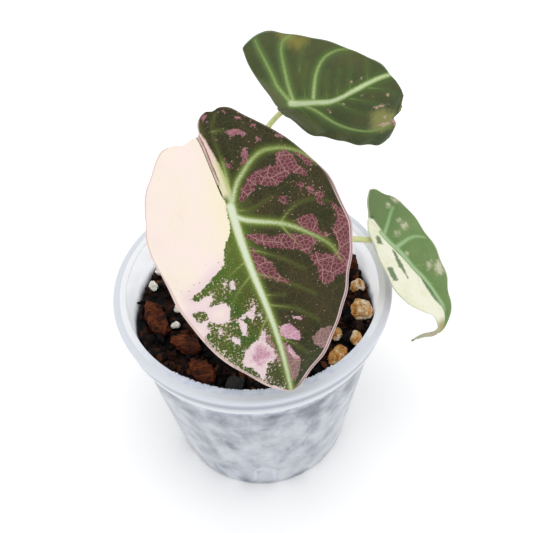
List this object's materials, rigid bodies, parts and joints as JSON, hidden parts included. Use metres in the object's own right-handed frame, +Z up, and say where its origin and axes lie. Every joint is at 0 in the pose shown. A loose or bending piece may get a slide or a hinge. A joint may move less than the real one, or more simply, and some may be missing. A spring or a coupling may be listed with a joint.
{
  "type": "potted alocasia plant",
  "caption": "Young variegated velvet-leaved alocasia with heart-shaped leaves on thin stalks, in a frosted round nursery pot of chunky bark mix.",
  "frame": {"origin": "middle of the pot's flat underside, on the surface that it stands on", "axes": "+Z up along the pot's axis; -Y towards the viewer, where the largest leaf leans out; +X to the viewer's right, where the smallest leaf hangs over the rim"},
  "size_m": [0.1058, 0.1002, 0.1457],
  "materials": {
    "pot": "frosted translucent white film-thin plastic, satin",
    "potting_mix": "damp dark crumbly bark mix, matt",
    "bark": "red-brown conifer bark, split and fibrous, matt",
    "charcoal": "black horticultural charcoal with small bright facets",
    "pumice": "pale tan porous pumice with rusty patches, matt",
    "perlite": "off-white expanded perlite, dull and pitted",
    "rhizome": "tan papery rhizome with cream roots",
    "petiole": "smooth pale yellow-green stalk with a pink flush, satin",
    "blade_front": "velvety leaf, half cream-pink, half dark green with rose patches, pale veins",
    "blade_back": "velvety dark green leaf with a few pink flecks, pale green veins",
    "blade_right": "velvety leaf, one half green with pink flecks, the other cream with green spots"
  },
  "bodies": {
    "root": {"pot": "pot", "potting_mix": "potting_mix", "rhizome_and_roots": "rhizome", "bark_chip_1": "bark", "bark_chip_2": "bark", "bark_chip_3": "bark", "bark_chip_4": "bark", "bark_chip_5": "bark", "bark_chip_6": "bark", "bark_chip_7": "bark", "bark_chip_8": "bark", "bark_chip_9": "bark", "charcoal_piece_1": "charcoal", "charcoal_piece_2": "charcoal", "charcoal_piece_3": "charcoal", "charcoal_piece_4": "charcoal", "charcoal_piece_5": "charcoal", "charcoal_piece_6": "charcoal", "pumice_stone_1": "pumice", "pumice_stone_2": "pumice", "pumice_stone_3": "pumice", "pumice_stone_4": "pumice", "pumice_stone_5": "pumice", "pumice_stone_6": "pumice", "pumice_stone_7": "pumice", "pumice_stone_8": "pumice", "perlite_grain_1": "perlite", "perlite_grain_2": "perlite", "perlite_grain_3": "perlite", "perlite_grain_4": "perlite", "perlite_grain_5": "perlite", "perlite_grain_6": "perlite", "perlite_grain_7": "perlite", "perlite_grain_8": "perlite", "perlite_grain_9": "perlite", "petiole_front": "petiole", "blade_front": "blade_front", "petiole_back": "petiole", "blade_back": "blade_back", "petiole_right": "petiole", "blade_right": "blade_right"}
  },
  "joints": []
}
